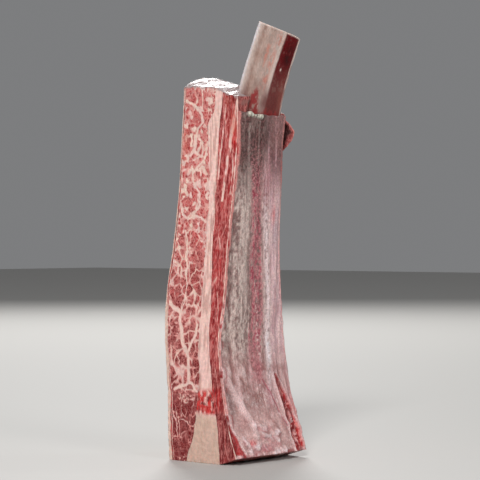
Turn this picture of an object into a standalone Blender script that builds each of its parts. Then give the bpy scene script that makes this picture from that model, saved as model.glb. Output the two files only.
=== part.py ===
"""One raw beef rib with its meat, standing on its sawn foot.

The rib's length runs up +Z. The marbled cut face looks along -X, the bone side
with its membrane looks along -Y, and the outer fat is at +Y. The layers lie one
behind another from -Y to +Y: membrane, bone, rib meat, fat seam, marbled muscle
and fat cap. The whole piece is bowed, as ribs are, and hollow on the bone side.
"""
import math

import bmesh
import bpy
from mathutils import Vector

MM = 0.001
# The space left between two solids that touch on the real piece.
GAP = 0.3

# Driving dimensions, in millimetres.
# The outline is given at nine levels up the piece, and runs smoothly between them.
LEVELS = (0, 20, 50, 80, 105, 140, 180, 215, 250)
HALF_WIDTH = (35.4, 36.0, 34.8, 33.4, 30.0, 26.6, 24.0, 22.4, 24.4)
FRONT_EDGE = (-33.0, -26.4, -18.1, -14.2, -15.2, -16.0, -19.0, -21.3, -22.4)
BACK_EDGE = (28.0, 29.5, 30.6, 34.0, 36.6, 33.5, 29.8, 29.0, 24.5)
SEAM_FRONT = (-16.0, -15.0, -9.0, -5.2, -3.6, -1.8, -2.3, -3.9, -10.5)
SEAM_BACK = (13.0, 6.3, 2.5, 3.5, 4.7, 4.2, 3.0, 5.9, -4.5)
CAP_THICKNESS = (3.6, 3.6, 3.4, 2.8, 2.4, 1.9, 1.8, 1.8, 1.8)
SEAM_LEAST = 3.0
BACK_CROWN = 0.7
SKIN = 1.0

# The bone: a flat oval rib that leaves the meat at the top and leans out over the membrane.
BONE_HALF_WIDTH = 19.0
BONE_HALF_DEPTH = 7.0
BONE_SQUARENESS = 5.0
BONE_LEVELS = (0, 20, 50, 80, 105, 140, 180, 215, 240, 263, 290)
BONE_Y = (-26.2, -19.7, -11.4, -7.5, -8.5, -9.3, -12.3, -14.6, -18.1, -23.4, -31.4)
BONE_X = (1.3, 1.3, 1.3, 1.3, 1.3, 1.3, 1.3, 1.5, 3.4, 6.2, 10.5)
BONE_END = 290.8
BONE_END_FALL = 0.165
BONE_END_TILT = 0.383
BONE_END_CORNER = 2.5
BONE_BED_WIDTH = 5.5
MEAT_BEHIND_BONE = 2.0

# The foot is flat from the back to FOOT_LIFT_START, then rises to the membrane.
FOOT_LIFT = 5.0
FOOT_LIFT_START = -16.0
FOOT_LIFT_RUN = 17.0

# The top: the height of its edge on the cut face, from front to back, and the mound on it.
TOP_EDGE_Y = (-22, -11, -2, 27)
TOP_EDGE_Z = (239.5, 242.5, 247.0, 248.0)
MOUND_FRONT = 2.0
MOUND_BACK = 8.5
MOUND_START = -2.0
MOUND_RUN = 27.0
# Past the bone the top falls away to the loose flap.
FAR_FALL = 9.0
FAR_FALL_START = 14.0
FAR_FALL_RUN = 8.0

# The slit in the membrane beside the bone, which opens towards the foot.
SLIT_LEVELS = (-5, 10, 43, 62)
SLIT_X = (27.5, 26.5, 23.0, 19.0)
SLIT_WIDTH = (4.6, 4.2, 3.0, 0.6)

# The loose flap of meat beside the bone, on the far side.
FLAP_BOTTOM = 197.0
FLAP_HEIGHT = 35.0
FLAP_REACH = 19.0
FLAP_SHORTEST = 2.5
FLAP_PEAK_LIFT = 1.4
FLAP_ROOT_Y = -8.0
FLAP_THICKNESS = 6.0
FLAP_RIM = 0.8
FLAP_TURN = math.radians(50)

# How finely each solid is divided.
RISE_STEPS = 22
SIDE_COLUMNS = 3
BONE_SIDES = 20
BARE_STEPS = 5
SLIT_STEPS = 8
# The membrane stops one step of the rise below the meat's top.
MEMBRANE_STEPS = RISE_STEPS - 1
COLUMNS = BONE_SIDES // 2 + 2 * SIDE_COLUMNS


def along(levels, values, level):
    """The smooth curve through the values given at the levels, read at one level."""
    last = len(levels) - 1
    level = min(max(level, levels[0]), levels[last])
    spot = max(i for i in range(last) if levels[i] <= level)

    def slope(i):
        low, high = max(i - 1, 0), min(i + 1, last)
        return (values[high] - values[low]) / (levels[high] - levels[low])

    run = levels[spot + 1] - levels[spot]
    t = (level - levels[spot]) / run
    start, end = values[spot], values[spot + 1]
    return ((1 + 2 * t) * (1 - t) ** 2 * start + t * (1 - t) ** 2 * run * slope(spot)
            + t * t * (3 - 2 * t) * end + t * t * (t - 1) * run * slope(spot + 1))


def ease(value):
    """A soft step from 0 to 1."""
    value = min(max(value, 0.0), 1.0)
    return value * value * (3 - 2 * value)


def half_width(z):
    return along(LEVELS, HALF_WIDTH, z)


def bone_bed(x, z):
    """1 over the bone and 0 at the cut edges, with a soft slope between."""
    beyond = abs(x - along(BONE_LEVELS, BONE_X, z)) - BONE_HALF_WIDTH - GAP
    return 1 - ease(beyond / BONE_BED_WIDTH)


def skin_front(x, z):
    """The membrane's outer face, which the bone pushes out."""
    over_bone = along(BONE_LEVELS, BONE_Y, z) - BONE_HALF_DEPTH - GAP - SKIN
    bed = bone_bed(x, z)
    return bed * over_bone + (1 - bed) * along(LEVELS, FRONT_EDGE, z)


def skin_back(x, z):
    return skin_front(x, z) + SKIN


def meat_front(x, z):
    return skin_back(x, z) + GAP


def seam_front(x, z):
    """The seam gives way behind the bone, so that some rib meat runs between them."""
    plain = along(LEVELS, SEAM_FRONT, z)
    behind_bone = along(BONE_LEVELS, BONE_Y, z) + BONE_HALF_DEPTH + MEAT_BEHIND_BONE
    return plain + max(behind_bone - plain, 0.0) * bone_bed(x, z)


def meat_back(x, z):
    return seam_front(x, z) - GAP


def seam_back(x, z):
    """The seam's other face follows it, but only where the seam would get too thin."""
    return max(along(LEVELS, SEAM_BACK, z), seam_front(x, z) + SEAM_LEAST)


def cap_back(x, z):
    return along(LEVELS, BACK_EDGE, z) + BACK_CROWN * (1 - (x / half_width(z)) ** 2)


def cap_front(x, z):
    return cap_back(x, z) - along(LEVELS, CAP_THICKNESS, z)


def muscle_front(x, z):
    return seam_back(x, z) + GAP


def muscle_back(x, z):
    return cap_front(x, z) - GAP


def foot(y):
    """The sole's height: flat under the fat and muscle, lifted under the rib meat."""
    return FOOT_LIFT * ease((FOOT_LIFT_START - y) / FOOT_LIFT_RUN)


def top(x, y):
    """The height of the meat's top, a low mound between the two cut faces."""
    mound = MOUND_FRONT + (MOUND_BACK - MOUND_FRONT) * ease((y - MOUND_START) / MOUND_RUN)
    across = min(abs(x) / half_width(250), 1.0)
    fall = FAR_FALL * ease((x - FAR_FALL_START) / FAR_FALL_RUN) * ease(-y / FAR_FALL_START)
    return along(TOP_EDGE_Y, TOP_EDGE_Z, y) + mound * (1 - across * across) - fall


def on_surface(x_at, surface, rise):
    """The point of a surface on the column x_at(z), at a share of the meat's height."""
    x, y, z = 0.0, 0.0, rise * LEVELS[-1]
    for _ in range(4):
        x = x_at(z)
        y = surface(x, z)
        z = foot(y) + rise * (top(x, y) - foot(y))
    return Vector((x, y, z))


def material(name, colour, roughness):
    """A plain finish for one layer; none of them is metal."""
    finish = bpy.data.materials.new(name)
    finish.use_nodes = True
    shader = finish.node_tree.nodes["Principled BSDF"]
    shader.inputs["Base Color"].default_value = (*colour, 1)
    shader.inputs["Roughness"].default_value = roughness
    shader.inputs["Metallic"].default_value = 0
    return finish


def new_object(name, bm, finish, collection):
    """Closes off a bmesh as one named object, in flat triangles."""
    bmesh.ops.triangulate(bm, faces=bm.faces[:], quad_method="SHORT_EDGE")
    bmesh.ops.recalc_face_normals(bm, faces=bm.faces[:])
    mesh = bpy.data.meshes.new(name)
    bm.to_mesh(mesh)
    bm.free()
    piece = bpy.data.objects.new(name, mesh)
    collection.objects.link(piece)
    if finish:
        mesh.materials.append(finish)
    return piece


def slice_up(bm, axis, count):
    """Cuts the bmesh across one axis at every whole number up to the count."""
    normal = Vector([float(a == axis) for a in range(3)])
    for step in range(1, count):
        geometry = bm.verts[:] + bm.edges[:] + bm.faces[:]
        bmesh.ops.bisect_plane(bm, geom=geometry, plane_co=normal * step, plane_no=normal)


def block(name, counts, place, finish, collection):
    """A cube cut into counts of columns, layers and steps, each grid point moved to its place."""
    bm = bmesh.new()
    bmesh.ops.create_cube(bm, size=1)
    for vertex in bm.verts:
        vertex.co = [(part + 0.5) * count for part, count in zip(vertex.co, counts)]
    for axis, count in enumerate(counts):
        slice_up(bm, axis, count)
    for vertex in bm.verts:
        vertex.co = place(*(round(part) for part in vertex.co)) * MM
    return new_object(name, bm, finish, collection)


def slab(name, front, back, layers, finish, collection):
    """A layer of the piece between two surfaces, from the foot to the top."""
    def place(column, layer, step):
        near = on_surface(lambda z: column_x(column, z, False), front, step / RISE_STEPS)
        far = on_surface(lambda z: column_x(column, z, False), back, step / RISE_STEPS)
        return near.lerp(far, layer / layers)

    return block(name, (COLUMNS, layers, RISE_STEPS), place, finish, collection)


def bone_outline(angle):
    """A point on the bone's rounded section, as shares of its half width and half depth."""
    c, s = math.cos(angle), math.sin(angle)
    power = 2 / BONE_SQUARENESS
    return math.copysign(abs(c) ** power, c), math.copysign(abs(s) ** power, s)


def bed_angle(column):
    """The place of a column on the back half of the bone's section."""
    return math.pi * (1 - 2 * (column - SIDE_COLUMNS) / BONE_SIDES)


def column_x(column, z, at_brink):
    """A column's place across the piece: on the bone's own columns, or shared out beside it.

    On the front face the last column beside the bone stands at the brink of its channel.
    """
    from_edge = min(column, COLUMNS - column)
    side = -1 if column < COLUMNS / 2 else 1
    bone_x = along(BONE_LEVELS, BONE_X, z)
    if from_edge >= SIDE_COLUMNS:
        return bone_x + bone_outline(bed_angle(column))[0] * (BONE_HALF_WIDTH + GAP)
    brink = bone_x + side * (BONE_HALF_WIDTH + GAP)
    edge = side * half_width(z)
    return edge + from_edge / (SIDE_COLUMNS - at_brink) * (brink - edge)


def bone_end(x, y):
    """The sawn end's height, which falls towards +X and -Y and is rounded off at the far side."""
    left = along(BONE_LEVELS, BONE_X, BONE_END) - BONE_HALF_WIDTH
    back = along(BONE_LEVELS, BONE_Y, BONE_END) + BONE_HALF_DEPTH
    across = (x - left) / (2 * BONE_HALF_WIDTH)
    fall = BONE_END_FALL * (x - left) + BONE_END_TILT * (back - y)
    return BONE_END - fall - BONE_END_CORNER * max(across, 0) ** 8


def beside_bone(outline, margin, step):
    """A point on the bone's section, grown by a margin, at a step of the rise or above the meat."""
    x, y, z = 0.0, 0.0, step / RISE_STEPS * LEVELS[-1]
    for _ in range(4):
        x = along(BONE_LEVELS, BONE_X, z) + outline[0] * (BONE_HALF_WIDTH + margin)
        y = along(BONE_LEVELS, BONE_Y, z) + outline[1] * (BONE_HALF_DEPTH + margin)
        if step <= RISE_STEPS:
            z = foot(y) + step / RISE_STEPS * (top(x, y) - foot(y))
        else:
            z = top(x, y) + (step - RISE_STEPS) / BARE_STEPS * (bone_end(x, y) - top(x, y))
    return Vector((x, y, z))


def make_bone(finish, collection):
    """A cylinder sliced along its length and drawn onto the rib's section and bow."""
    steps = RISE_STEPS + BARE_STEPS
    bm = bmesh.new()
    bmesh.ops.create_cone(bm, cap_ends=True, segments=BONE_SIDES, radius1=1, radius2=1, depth=steps)
    for vertex in bm.verts:
        vertex.co.z += steps / 2
    slice_up(bm, 2, steps)
    for vertex in bm.verts:
        side = round(math.atan2(vertex.co.y, vertex.co.x) / math.tau * BONE_SIDES)
        outline = bone_outline(math.tau * side / BONE_SIDES)
        vertex.co = beside_bone(outline, 0.0, round(vertex.co.z)) * MM
    return new_object("rib_bone", bm, finish, collection)


def make_rib_meat(finish, collection):
    """The meat beside and behind the bone: a slab whose front face has a channel for it."""
    def place(column, layer, step):
        rise = step / RISE_STEPS
        if layer:
            return on_surface(lambda z: column_x(column, z, False), meat_back, rise)
        if SIDE_COLUMNS <= column <= COLUMNS - SIDE_COLUMNS:
            return beside_bone(bone_outline(bed_angle(column)), GAP, step)
        return on_surface(lambda z: column_x(column, z, True), meat_front, rise)

    return block("rib_meat", (COLUMNS, 1, RISE_STEPS), place, finish, collection)


def make_membrane(finish, collection, cutters):
    """The skin over the bone and the rib meat, slit beside the bone near the foot."""
    def skin_x(column, z):
        """The rib meat's columns, with the doubled one at each brink moved in over the bone."""
        if column == SIDE_COLUMNS:
            return (column_x(column, z, True) + column_x(column + 1, z, True)) / 2
        if column == COLUMNS - SIDE_COLUMNS:
            return (column_x(column, z, True) + column_x(column - 1, z, True)) / 2
        return column_x(column, z, True)

    def place(column, layer, step):
        surface = skin_back if layer else skin_front
        return on_surface(lambda z: skin_x(column, z), surface, step / RISE_STEPS)

    skin = block("membrane", (COLUMNS, 1, MEMBRANE_STEPS), place, finish, collection)

    def slit(column, layer, step):
        z = SLIT_LEVELS[0] + (SLIT_LEVELS[-1] - SLIT_LEVELS[0]) * step / SLIT_STEPS
        wide = along(SLIT_LEVELS, SLIT_WIDTH, z)
        x = along(SLIT_LEVELS, SLIT_X, z) + (column - 0.5) * wide
        return Vector((x, skin_front(x, max(z, 0)) + 3 * SKIN * (layer - 0.4), z))

    cutter = block("slit_cutter", (1, 1, SLIT_STEPS), slit, None, cutters)
    cutter.hide_render = True
    cutter.display_type = "WIRE"
    cut = skin.modifiers.new("slit", "BOOLEAN")
    cut.operation = "DIFFERENCE"
    cut.solver = "EXACT"
    cut.object = cutter
    return skin


def make_flap(finish, collection):
    """An ear of meat that stands out from the far side, longest at its middle."""
    counts = (5, 2, 9)

    def place(column, layer, step):
        out = column / counts[0]
        rise = step / counts[2]
        z = FLAP_BOTTOM + FLAP_HEIGHT * rise
        bulge = math.sin(math.pi * rise ** FLAP_PEAK_LIFT) ** 0.8 if step < counts[2] else 0
        reach = FLAP_SHORTEST + (FLAP_REACH - FLAP_SHORTEST) * bulge
        thick = FLAP_RIM + (FLAP_THICKNESS - FLAP_RIM) * (1 - 0.3 * out) * math.sqrt(1 - out ** 4)
        x = half_width(z) + GAP + out * reach * math.cos(FLAP_TURN)
        y = FLAP_ROOT_Y - out * reach * math.sin(FLAP_TURN) + (layer / counts[1] - 0.5) * thick
        return Vector((x, y, z))

    return block("meat_flap", counts, place, finish, collection)


for old in list(bpy.data.objects):
    bpy.data.objects.remove(old, do_unlink=True)
beef_rib = bpy.data.collections.new("beef_rib")
cutters = bpy.data.collections.new("cutters")
for group in (beef_rib, cutters):
    bpy.context.scene.collection.children.link(group)

slab("fat_cap", cap_front, cap_back, 1,
     material("outer_fat", (0.62, 0.50, 0.42), 0.45), beef_rib)
slab("marbled_muscle", muscle_front, muscle_back, 2,
     material("marbled_lean", (0.42, 0.12, 0.12), 0.40), beef_rib)
slab("fat_seam", seam_front, seam_back, 1,
     material("seam_fat", (0.75, 0.50, 0.44), 0.45), beef_rib)
make_rib_meat(material("rib_lean", (0.36, 0.08, 0.08), 0.40), beef_rib)
make_bone(material("bone", (0.60, 0.50, 0.44), 0.40), beef_rib)
make_membrane(material("membrane", (0.45, 0.33, 0.32), 0.30), beef_rib, cutters)
make_flap(material("flap_lean", (0.34, 0.10, 0.09), 0.40), beef_rib)
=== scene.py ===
"""The looks of one raw beef rib with its meat: marbled cut faces, fat, membrane and bare bone."""
import itertools
import math
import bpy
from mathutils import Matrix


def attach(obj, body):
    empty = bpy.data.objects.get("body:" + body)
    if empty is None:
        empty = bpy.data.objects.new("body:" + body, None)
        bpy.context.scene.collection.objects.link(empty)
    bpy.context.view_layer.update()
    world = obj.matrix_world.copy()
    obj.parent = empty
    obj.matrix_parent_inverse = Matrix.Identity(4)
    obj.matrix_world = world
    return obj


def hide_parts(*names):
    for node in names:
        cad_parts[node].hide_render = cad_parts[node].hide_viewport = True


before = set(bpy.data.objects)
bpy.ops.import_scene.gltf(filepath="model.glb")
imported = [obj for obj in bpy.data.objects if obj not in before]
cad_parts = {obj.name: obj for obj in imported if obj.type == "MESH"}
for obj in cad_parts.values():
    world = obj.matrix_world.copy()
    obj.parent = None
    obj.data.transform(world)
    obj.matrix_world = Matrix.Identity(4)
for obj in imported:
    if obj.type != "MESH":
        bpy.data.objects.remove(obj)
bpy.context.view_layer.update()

from types import SimpleNamespace

import bpy
import numpy as np
from mathutils import Vector

MM = 0.001

# The marbled muscle. A thick band of red meat, cut across so that its bundles show as dark
# kernels between webs and veins of pale fat. It is the widest layer of the cut face, and the
# other layers lie against it, so the rib's whole outline is set out here.

# The outline at several levels up the piece, in millimetres.
LEVELS = (0, 20, 50, 80, 105, 140, 180, 215, 250)
HALF_WIDTH = (35.4, 36.0, 34.8, 33.4, 30.0, 26.6, 24.0, 22.4, 24.4)
BACK_EDGE = (28.0, 29.5, 30.6, 34.0, 36.6, 33.5, 29.8, 29.0, 24.5)
SEAM_LEVELS = (0, 20, 50, 80, 105, 140, 180, 215, 224, 232, 250)
SEAM_FRONT = (-16.0, -15.0, -9.0, -5.2, -3.6, -1.8, -2.3, -3.9, -5.4, -7.0, -10.5)
SEAM_BACK = (13.0, 6.3, 2.5, 3.5, 4.7, 4.2, 3.0, 5.9, 4.0, -1.2, -4.5)
CAP_THICKNESS = (3.6, 3.6, 3.4, 2.8, 2.4, 1.9, 1.8, 1.8, 1.8)
BACK_CROWN = 0.7
BONE_HALF_WIDTH = 19.0
BONE_HALF_DEPTH = 7.0
BONE_LEVELS = (0, 20, 50, 80, 105, 140, 180, 215, 240, 263, 290)
BONE_Y = (-26.2, -19.7, -11.4, -7.5, -8.5, -9.3, -12.3, -14.6, -18.1, -23.4, -31.4)
BONE_X = (1.3, 1.3, 1.3, 1.3, 1.3, 1.3, 1.3, 1.5, 3.4, 6.2, 10.5)
BONE_BED_WIDTH = 5.5
MEAT_BEHIND_BONE = 2.0
SEAM_LEAST = 3.0
GAP = 0.3
FOOT_LIFT, FOOT_LIFT_START, FOOT_LIFT_RUN = 5.0, -16.0, 17.0
TOP_EDGE_Y = (-22, -11, -2, 27)
TOP_EDGE_Z = (239.5, 242.5, 247.0, 248.0)
MOUND_FRONT, MOUND_BACK, MOUND_START, MOUND_RUN = 2.0, 8.5, -2.0, 27.0
FAR_FALL, FAR_FALL_START, FAR_FALL_RUN = 9.0, 14.0, 8.0

# Each layer's surface has this many steps up the piece. A hidden face has one for every six, and
# one for every four columns across. A point settles in place in this many rounds.
STEPS = 450
HIDDEN_STEP = 6
HIDDEN_COLUMN = 4
ROUNDS = 4
SIDES = (("front", 0), ("back", -1))
LOT_SIZE, LOT_STRIDES = 4096, (73856093, 19349663, 83492791)
STROKE_CORE, STROKE_FADE = 0.22, 0.45
# How far red, green and blue light sink into the meat, against each other.
GLOW_SPREAD = (1.0, 0.35, 0.25)


def along(levels, values, at):
    """The smooth curve through the values given at the levels, read at many levels at once."""
    levels = np.array(levels, float)
    values = np.array(values, float)
    count = len(levels)
    at = np.clip(at, levels[0], levels[-1])
    spot = np.clip(np.searchsorted(levels, at, side="right") - 1, 0, count - 2)
    low = np.maximum(np.arange(count) - 1, 0)
    high = np.minimum(np.arange(count) + 1, count - 1)
    slope = (values[high] - values[low]) / (levels[high] - levels[low])
    run = levels[spot + 1] - levels[spot]
    t = (at - levels[spot]) / run
    return ((1 + 2 * t) * (1 - t) ** 2 * values[spot] + t * (1 - t) ** 2 * run * slope[spot]
            + t * t * (3 - 2 * t) * values[spot + 1] + t * t * (t - 1) * run * slope[spot + 1])


def ease(value):
    """A soft step from 0 to 1."""
    value = np.clip(value, 0.0, 1.0)
    return value * value * (3 - 2 * value)


def ramp(value, start, run):
    """A soft step that starts at one value and takes the run given to reach 1."""
    return ease((value - start) / run)


def fade(value, start, run):
    return 1 - ramp(value, start, run)


def hump(value, width):
    """1 where the value is 0, falling softly to both sides."""
    return np.exp(-(value / width) ** 2)


def lot(cell, seed, width=1):
    """A random row for each cell of a lattice, the same on every run."""
    table = np.random.default_rng(seed).random((LOT_SIZE, width))
    a, b, c = LOT_STRIDES
    mixed = cell[..., 0] * a ^ cell[..., 1] * b ^ cell[..., 2] * c
    return table[mixed & (LOT_SIZE - 1)]


def mottle(x, y, z, size, seed):
    """Smooth unevenness from -1 to 1, in lumps of about the given size."""
    place = np.stack([x, y, z], axis=-1) / np.array(size, float)
    base = np.floor(place).astype(np.int64)
    part = place - base
    part = part ** 3 * (part * (part * 6 - 15) + 10)
    total = np.zeros(place.shape[:-1])
    for corner in itertools.product((0, 1), repeat=3):
        weight = np.prod(np.where(corner, part, 1 - part), axis=-1)
        total += weight * (lot(base + np.array(corner), seed)[..., 0] * 2 - 1)
    return total


def rough(x, y, z, size, seed):
    """Mottle with two finer layers on top."""
    size = np.array(size, float)
    return (mottle(x, y, z, size, seed) + 0.5 * mottle(x, y, z, size / 2.1, seed + 1)
            + 0.25 * mottle(x, y, z, size / 4.3, seed + 2)) / 1.4


def bundles(x, y, z, size, seed):
    """Meat bundles of about the given size: a point's depth in its bundle, 0 at the border, the
    bundle's own number from 0 to 1, and where the bundle's middle is."""
    size = np.array(size, float)
    place = np.stack([x, y, z], axis=-1) / size
    base = np.floor(place).astype(np.int64)
    nearest = np.full(place.shape[:-1], 9.0)
    second = nearest.copy()
    own = np.zeros_like(nearest)
    middle = np.zeros_like(place)
    for step in itertools.product((-1, 0, 1), repeat=3):
        cell = base + np.array(step)
        draw = lot(cell, seed, 4)
        spot = cell + draw[..., :3]
        far = np.linalg.norm(place - spot, axis=-1)
        closer = far < nearest
        second = np.where(closer, nearest, np.minimum(second, far))
        own = np.where(closer, draw[..., 3], own)
        middle = np.where(closer[..., None], spot, middle)
        nearest = np.where(closer, far, nearest)
    return second - nearest, own, (middle * size).T


def off_line(u, z, line):
    """How far points lie from a line of (u, z) corners, in millimetres."""
    least = np.full(np.shape(u), 1e9)
    for (u0, z0), (u1, z1) in zip(line, line[1:]):
        du, dz = u1 - u0, z1 - z0
        t = np.clip(((u - u0) * du + (z - z0) * dz) / (du * du + dz * dz), 0, 1)
        least = np.minimum(least, np.hypot(u - u0 - t * du, z - z0 - t * dz))
    return least


def half_width(z):
    return along(LEVELS, HALF_WIDTH, z)


def bone_bed(x, z):
    """1 over the bone and 0 at the cut edges, with a soft slope between."""
    beyond = np.abs(x - along(BONE_LEVELS, BONE_X, z)) - BONE_HALF_WIDTH - GAP
    return 1 - ease(beyond / BONE_BED_WIDTH)


def seam_front(x, z):
    plain = along(SEAM_LEVELS, SEAM_FRONT, z) + 0.35 * rough(x, 0 * x, z, (9, 9, 7), 31)
    behind_bone = along(BONE_LEVELS, BONE_Y, z) + BONE_HALF_DEPTH + MEAT_BEHIND_BONE
    return plain + np.maximum(behind_bone - plain, 0.0) * bone_bed(x, z)


def seam_back(x, z):
    lobes = 1.2 * rough(x, 0 * x, z, (8, 8, 7), 37) * ease(z / 10)
    return np.maximum(along(SEAM_LEVELS, SEAM_BACK, z) + lobes, seam_front(x, z) + SEAM_LEAST)


def cap_back(x, z):
    return along(LEVELS, BACK_EDGE, z) + BACK_CROWN * (1 - (x / half_width(z)) ** 2)


def cap_front(x, z):
    uneven = 1 + 0.45 * rough(x, 0 * x, z, (10, 10, 13), 41)
    return cap_back(x, z) - along(LEVELS, CAP_THICKNESS, z) * uneven


def foot(y):
    """The sole: flat under the fat and muscle, lifted under the rib meat."""
    return FOOT_LIFT * ease((FOOT_LIFT_START - y) / FOOT_LIFT_RUN)


def meat_top(x, y):
    """The top: a low mound between the cut faces that falls away past the bone."""
    mound = MOUND_FRONT + (MOUND_BACK - MOUND_FRONT) * ease((y - MOUND_START) / MOUND_RUN)
    across = np.minimum(np.abs(x) / HALF_WIDTH[-1], 1.0)
    fall = FAR_FALL * ease((x - FAR_FALL_START) / FAR_FALL_RUN) * ease(-y / FAR_FALL_START)
    return along(TOP_EDGE_Y, TOP_EDGE_Z, y) + mound * (1 - across * across) - fall


def corners_round(grid, i0, i1, k0, k1):
    """The corner ids round one hidden cell, with each finer corner that lies on the face's rim."""
    last_i, last_k = grid.shape[0] - 1, grid.shape[1] - 1
    step = lambda a, b, fine: range(a, b, 1 if b > a else -1) if fine else (a,)
    ring = [grid[i, k0] for i in step(i0, i1, k0 == 0)]
    ring += [grid[i1, k] for k in step(k0, k1, i1 == last_i)]
    ring += [grid[i, k1] for i in step(i1, i0, k1 == last_k)]
    ring += [grid[i0, k] for k in step(k1, k0, i0 == 0)]
    return [int(corner) for corner in ring]


def lay_up(front, back, columns, layers, shown=(), ceiling=meat_top, steps=STEPS):
    """Sets out the closed surface of one layer between its front and its back.

    The cut faces, the top and the foot are fine, and so are the front or back if shown.
    """
    grid = np.full((columns + 1, layers + 1, steps + 1), -1)
    grid[[0, -1]] = 0
    grid[:, :, [0, -1]] = 0
    coarse = np.ix_(range(0, columns + 1, HIDDEN_COLUMN), range(0, steps + 1, HIDDEN_STEP))
    for face, side in SIDES:
        if face in shown:
            grid[:, side] = 0
        else:
            grid[:, side][coarse] = 0
    grid[grid == 0] = np.arange((grid == 0).sum())
    i, j, k = np.nonzero(grid >= 0)

    faces = []
    for face, side in SIDES:
        flat = grid[:, side]
        if face in shown:
            faces += squares(flat if face == "front" else flat.T)
            continue
        for i0 in range(0, columns, HIDDEN_COLUMN):
            for k0 in range(0, steps, HIDDEN_STEP):
                ring = corners_round(flat, i0, i0 + HIDDEN_COLUMN, k0, k0 + HIDDEN_STEP)
                faces.append(ring if face == "front" else ring[::-1])
    faces += squares(grid[0].T) + squares(grid[-1])
    faces += squares(grid[:, :, 0].T) + squares(grid[:, :, -1])

    share, rise = 2 * i / columns - 1, k / steps
    ends = []
    for surface in (front, back):
        z = rise * LEVELS[-1]
        for _ in range(ROUNDS):
            x = share * half_width(z)
            y = surface(x, z)
            z = foot(y) + rise * (ceiling(x, y) - foot(y))
        ends.append(np.stack([x, y, z]))
    x, y, z = ends[0] + (ends[1] - ends[0]) * (j / layers)
    return SimpleNamespace(x=x, y=y, z=z, faces=faces, depth=j / layers, top=k == steps,
                           cut=(i == columns) * 1.0 - (i == 0), front=j == 0, back=j == layers)


def squares(grid):
    """The four-sided faces of a sheet of corner ids."""
    ring = np.stack([grid[:-1, :-1], grid[1:, :-1], grid[1:, 1:], grid[:-1, 1:]], axis=-1)
    return ring.reshape(-1, 4).tolist()


def lay(base, colour, amount):
    """Lays one colour over another, as strongly as the amount says at each point."""
    amount = np.clip(amount, 0, 1)[..., None]
    return base + (np.array(colour) - base) * amount


def between(first, second, amount):
    """A mix of two colours, as far towards the second as the amount says at each point."""
    return lay(np.array([first]), second, amount)


def strokes(u, z, lines):
    """How strongly points lie on drawn lines, each given by its corners and its width."""
    amount = np.zeros(np.shape(u))
    for corners, wide in lines:
        off = off_line(u, z, corners)
        amount = np.maximum(amount, 1 - ease((off - STROKE_CORE * wide) / (STROKE_FADE * wide)))
    return amount


def stand(name, data):
    """Puts an object with this mesh, lamp or camera into the scene."""
    placed = bpy.data.objects.new(name, data)
    bpy.context.scene.collection.objects.link(placed)
    return placed


def build(name, node, slot, finish, skin, **masks):
    """Makes the piece's mesh, stores its masks for the finish, and puts it in its node's place."""
    mesh = bpy.data.meshes.new(name)
    mesh.from_pydata((np.stack([skin.x, skin.y, skin.z], axis=-1) * MM).tolist(), [], skin.faces)
    mesh.shade_smooth()
    count = len(mesh.vertices)
    for mask, values in masks.items():
        values = np.asarray(values, float)
        if values.ndim == 2:
            data = mesh.attributes.new(mask, "FLOAT_COLOR", "POINT").data
            opaque = np.column_stack([np.clip(values, 0, 1), np.ones(count)])
            data.foreach_set("color", opaque.ravel())
        else:
            data = mesh.attributes.new(mask, "FLOAT", "POINT").data
            data.foreach_set("value", np.array(np.broadcast_to(values, count)))
    mesh.materials.append(finish.material)
    piece = stand(name, mesh)
    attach(piece, "root")
    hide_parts(node)


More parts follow.
